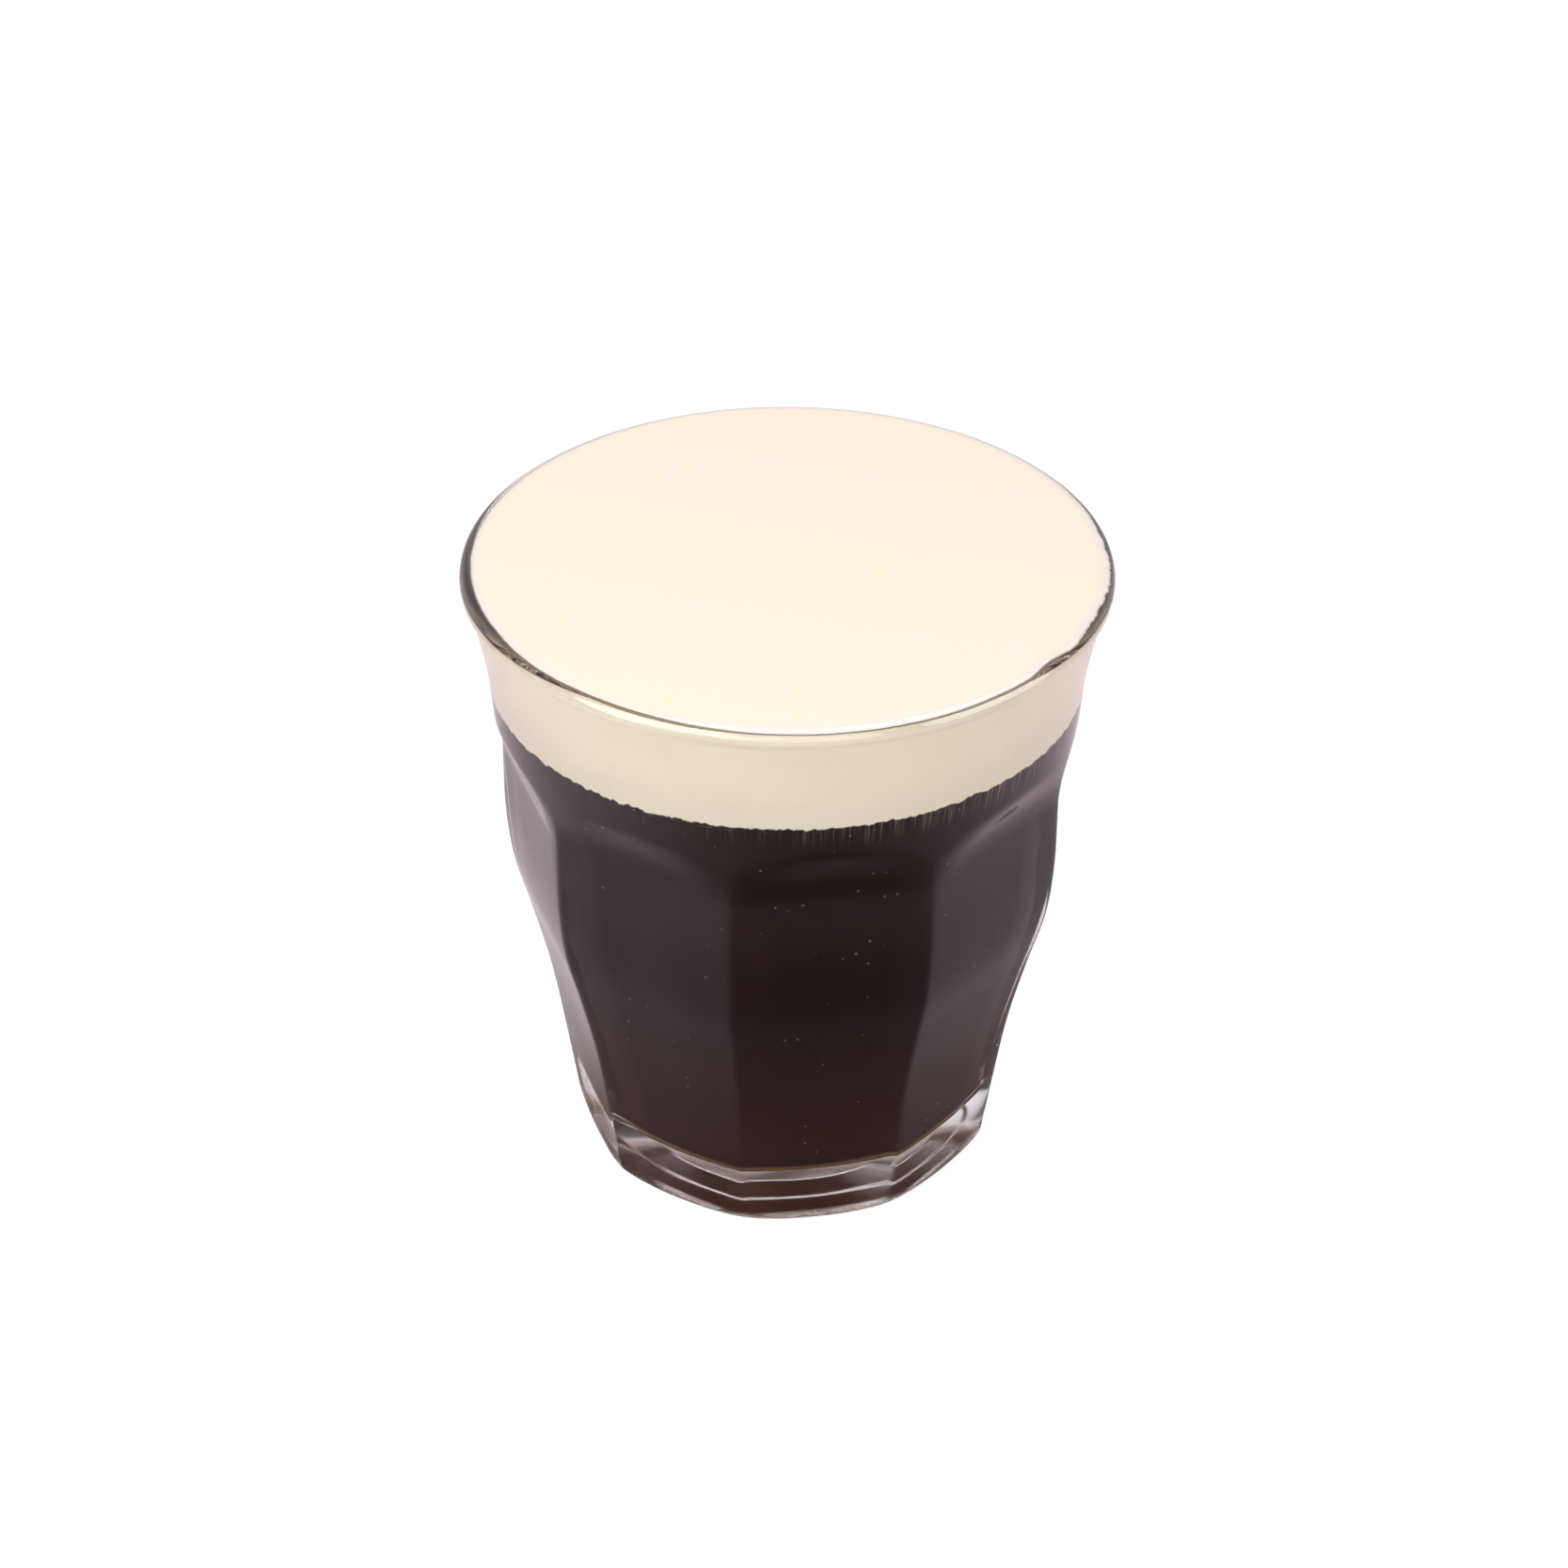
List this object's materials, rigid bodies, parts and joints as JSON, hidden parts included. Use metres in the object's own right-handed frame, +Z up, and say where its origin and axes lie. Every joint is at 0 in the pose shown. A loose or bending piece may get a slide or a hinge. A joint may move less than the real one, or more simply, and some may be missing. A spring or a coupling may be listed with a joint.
{
  "type": "irish coffee",
  "caption": "Clear fluted tumbler filled to the brim with black coffee under a thick floating layer of cream.",
  "frame": {"origin": "centre of the foot, on the surface the glass stands on", "axes": "+Z up along the axis of the glass, -Y out of the middle of one flute"},
  "size_m": [0.086, 0.086, 0.09],
  "materials": {
    "clear_glass": "clear pressed and toughened glass, polished",
    "black_coffee": "still black coffee, almost opaque, brown where it is thin",
    "soft_cream": "smooth ivory cream, softly whipped"
  },
  "bodies": {
    "root": {"glass": "clear_glass", "coffee": "black_coffee", "cream": "soft_cream"}
  },
  "joints": []
}
